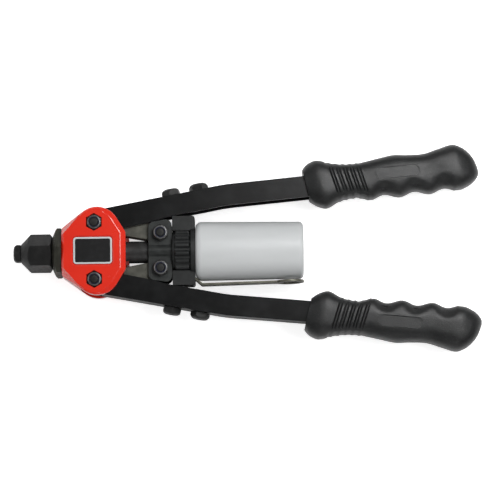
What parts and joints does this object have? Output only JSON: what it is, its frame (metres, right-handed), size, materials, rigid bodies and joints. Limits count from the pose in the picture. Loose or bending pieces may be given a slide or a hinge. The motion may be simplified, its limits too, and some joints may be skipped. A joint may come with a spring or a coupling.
{
  "type": "hand riveter",
  "caption": "Two-handed blind riveter: red cast head, long black arms with moulded grips, toggle links on a pull bracket, spare nosepieces in the arms and a screw-on mandrel bottle.",
  "frame": {"origin": "middle of the closed tool's length, width and thickness, on the pull axis", "axes": "+X from the nosepiece along the pull axis to the ends of the grips, +Y to the upper arm, +Z out of the side of the head that has the label"},
  "size_m": [0.33, 0.1466, 0.0418],
  "materials": {
    "red_paint": "glossy red enamel on the cast head",
    "black_paint": "satin black enamel on pressed steel",
    "black_oxide": "black oxide on turned and pressed steel",
    "bare_steel": "oiled grey steel",
    "zinc_steel": "zinc plate",
    "label_metal": "bare plate with a brushed rim",
    "grip_rubber": "matt black rubber",
    "black_plastic": "fine-grained black moulding",
    "bottle_plastic": "milky translucent polyethylene",
    "blue_nylon": "dark blue nylon"
  },
  "bodies": {
    "head": {"head_casting": "red_paint", "label_plate": "label_metal", "nose_housing": "black_oxide", "lock_nut": "bare_steel", "nosepiece": "black_oxide", "head_pivot_bolt_upper": "bare_steel", "arm_pivot_bush_upper": "bare_steel", "head_pivot_nut_upper": "zinc_steel", "head_nut_insert_upper": "blue_nylon", "head_pivot_bolt_lower": "bare_steel", "arm_pivot_bush_lower": "bare_steel", "head_pivot_nut_lower": "zinc_steel", "head_nut_insert_lower": "blue_nylon"},
    "arm_upper": {"arm_channel_upper": "black_paint", "crank_pin_upper": "bare_steel", "grip_upper": "grip_rubber", "spare_nosepiece_upper_1": "black_oxide", "spare_nosepiece_upper_2": "black_oxide"},
    "arm_lower": {"arm_channel_lower": "black_paint", "crank_pin_lower": "bare_steel", "grip_lower": "grip_rubber", "spare_nosepiece_lower_1": "black_oxide", "spare_nosepiece_lower_2": "black_oxide"},
    "pull": {"pull_tube": "black_oxide", "jaw_case": "bare_steel", "jaw_spring": "zinc_steel", "bracket_plate_front": "black_oxide", "bracket_plate_back": "black_oxide", "bottle_holder": "black_plastic", "nosepiece_spanner": "bare_steel", "bracket_bolt_upper": "bare_steel", "bracket_nut_upper": "zinc_steel", "bracket_nut_insert_upper": "blue_nylon", "bracket_bolt_lower": "bare_steel", "bracket_nut_lower": "zinc_steel", "bracket_nut_insert_lower": "blue_nylon"},
    "link_upper": {"link_upper": "bare_steel"},
    "link_lower": {"link_lower": "bare_steel"},
    "jaws": {"jaw_upper": "bare_steel", "jaw_lower": "bare_steel", "jaw_pusher": "bare_steel"},
    "bottle": {"mandrel_bottle": "bottle_plastic"}
  },
  "joints": [
    {"name": "arm_upper_pivot", "type": "hinge", "parent": "head", "child": "arm_upper", "pos_m": [-0.1074, 0.0202, 0], "axis": [0, 0, 1], "range_deg": [0, 55]},
    {"name": "arm_lower_pivot", "type": "hinge", "parent": "head", "child": "arm_lower", "pos_m": [-0.1074, -0.0202, 0], "axis": [0, 0, -1], "range_deg": [0, 55]},
    {"name": "pull_slide", "type": "slide", "parent": "head", "child": "pull", "axis": [-1, 0, 0], "range_m": [0, 0.00966]},
    {"name": "link_upper_pivot", "type": "hinge", "parent": "pull", "child": "link_upper", "pos_m": [-0.0608, 0.0125, 0], "axis": [0, 0, -1], "range_deg": [0, 25.5]},
    {"name": "link_lower_pivot", "type": "hinge", "parent": "pull", "child": "link_lower", "pos_m": [-0.0608, -0.0125, 0], "axis": [0, 0, 1], "range_deg": [0, 25.5]},
    {"name": "jaw_slide", "type": "slide", "parent": "pull", "child": "jaws", "axis": [1, 0, 0], "range_m": [0, 0.002], "deforming": ["jaw_spring"]},
    {"name": "bottle_slide", "type": "slide", "parent": "pull", "child": "bottle", "axis": [1, 0, 0], "range_m": [0, 0.04]}
  ],
  "couplings": [
    {"joint": "arm_lower_pivot", "follows": "arm_upper_pivot", "ratio": 1},
    {"joint": "pull_slide", "follows": "arm_upper_pivot", "m_per_rad": 0.010062},
    {"joint": "link_upper_pivot", "follows": "arm_upper_pivot", "ratio": 0.46312},
    {"joint": "link_lower_pivot", "follows": "arm_upper_pivot", "ratio": 0.46312},
    {"joint": "jaw_slide", "follows": "arm_upper_pivot", "m_per_rad": 0.0020834}
  ]
}
